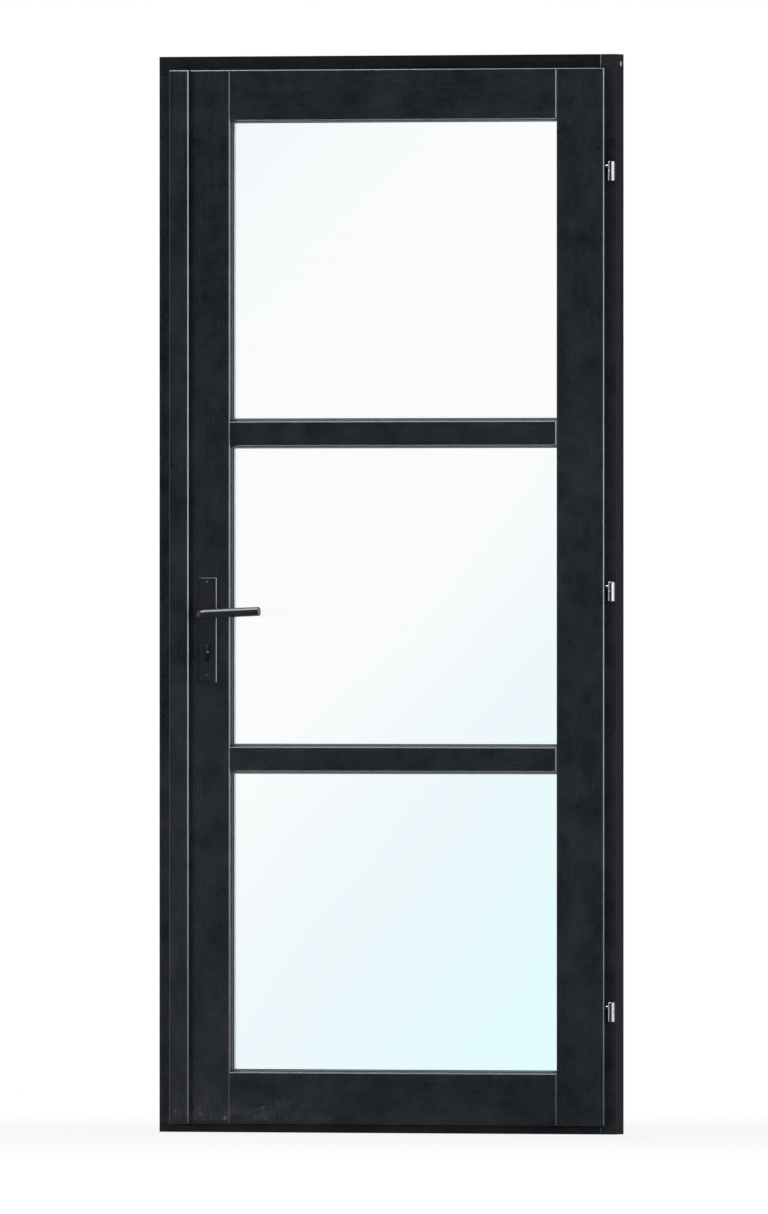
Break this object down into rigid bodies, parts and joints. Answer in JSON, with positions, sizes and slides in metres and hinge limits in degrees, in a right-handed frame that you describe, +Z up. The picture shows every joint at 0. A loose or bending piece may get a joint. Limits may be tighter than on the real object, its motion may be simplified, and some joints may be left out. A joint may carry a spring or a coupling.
{
  "type": "glass door",
  "caption": "Glazed timber door in its frame: dark lipped leaf with panes between bars, drill-in hinges, a round-bar lever outside, a knob inside and a mortise lock.",
  "frame": {"origin": "middle of the sill's underside, half way through the frame's depth", "axes": "+X from the lock side to the hinge side, -Y towards the side the leaf opens to, +Z up"},
  "size_m": [0.98, 0.1622, 2.18],
  "materials": {
    "painted_timber": "matt black stain",
    "glass": "clear",
    "spacer": "mill",
    "zinc": "zinc plated",
    "lock_steel": "satin",
    "black_metal": "satin black",
    "cylinder_metal": "nickel plated",
    "gasket": "matt",
    "block_plastic": "matt",
    "dowel_wood": "bare"
  },
  "bodies": {
    "frame": {"hinge_jamb": "painted_timber", "lock_jamb": "painted_timber", "head": "painted_timber", "sill": "painted_timber", "stop_gasket": "gasket", "strike_plate": "lock_steel", "strike_screws": "zinc", "corner_screws": "zinc", "upper_hinge_jamb_half": "zinc", "middle_hinge_jamb_half": "zinc", "lower_hinge_jamb_half": "zinc", "upper_hinge_pin": "zinc", "middle_hinge_pin": "zinc", "lower_hinge_pin": "zinc"},
    "leaf": {"lock_stile": "painted_timber", "hinge_stile": "painted_timber", "top_rail": "painted_timber", "bottom_rail": "painted_timber", "upper_bar": "painted_timber", "lower_bar": "painted_timber", "joint_dowels": "dowel_wood", "cover_strip": "painted_timber", "setting_blocks": "block_plastic", "upper_glass_outer": "glass", "upper_glass_inner": "glass", "upper_glass_spacer": "spacer", "upper_glazing_seal": "gasket", "upper_beads": "painted_timber", "middle_glass_outer": "glass", "middle_glass_inner": "glass", "middle_glass_spacer": "spacer", "middle_glazing_seal": "gasket", "middle_beads": "painted_timber", "lower_glass_outer": "glass", "lower_glass_inner": "glass", "lower_glass_spacer": "spacer", "lower_glazing_seal": "gasket", "lower_beads": "painted_timber", "upper_hinge_leaf_half": "zinc", "middle_hinge_leaf_half": "zinc", "lower_hinge_leaf_half": "zinc", "lock_case": "lock_steel", "lock_forend": "lock_steel", "forend_screws": "zinc", "cylinder_body": "cylinder_metal", "cylinder_screw": "zinc", "outer_backplate": "black_metal", "inner_backplate": "black_metal", "backplate_screws": "black_metal"},
    "handle": {"outer_lever": "black_metal", "inner_knob": "black_metal", "spindle": "lock_steel", "follower": "lock_steel"},
    "latch": {"latch_bolt": "lock_steel"},
    "key_cam": {"outer_plug": "cylinder_metal", "inner_plug": "cylinder_metal", "cylinder_cam": "cylinder_metal"},
    "deadbolt": {"deadbolt": "lock_steel"}
  },
  "joints": [
    {"name": "leaf_swing", "type": "hinge", "parent": "frame", "child": "leaf", "pos_m": [0.4825, -0.0315, 1.09], "axis": [0, 0, 1], "range_deg": [0, 170]},
    {"name": "handle_turn", "type": "hinge", "parent": "leaf", "child": "handle", "pos_m": [-0.379, -0.012, 1.05], "axis": [0, 1, 0], "range_deg": [0, 40], "stiffness_Nm_per_rad": 1.2, "springref_deg": -34.38},
    {"name": "latch_slide", "type": "slide", "parent": "leaf", "child": "latch", "axis": [1, 0, 0], "range_m": [0, 0.012]},
    {"name": "key_turn", "type": "hinge", "parent": "leaf", "child": "key_cam", "pos_m": [-0.379, -0.012, 0.978], "axis": [0, -1, 0], "range_deg": [0, 360]},
    {"name": "deadbolt_slide", "type": "slide", "parent": "leaf", "child": "deadbolt", "axis": [-1, 0, 0], "range_m": [0, 0.02]}
  ],
  "couplings": [
    {"joint": "latch_slide", "follows": "handle_turn", "m_per_rad": 0.017188},
    {"joint": "key_turn", "follows": "deadbolt_slide", "rad_per_m": 314.15}
  ]
}
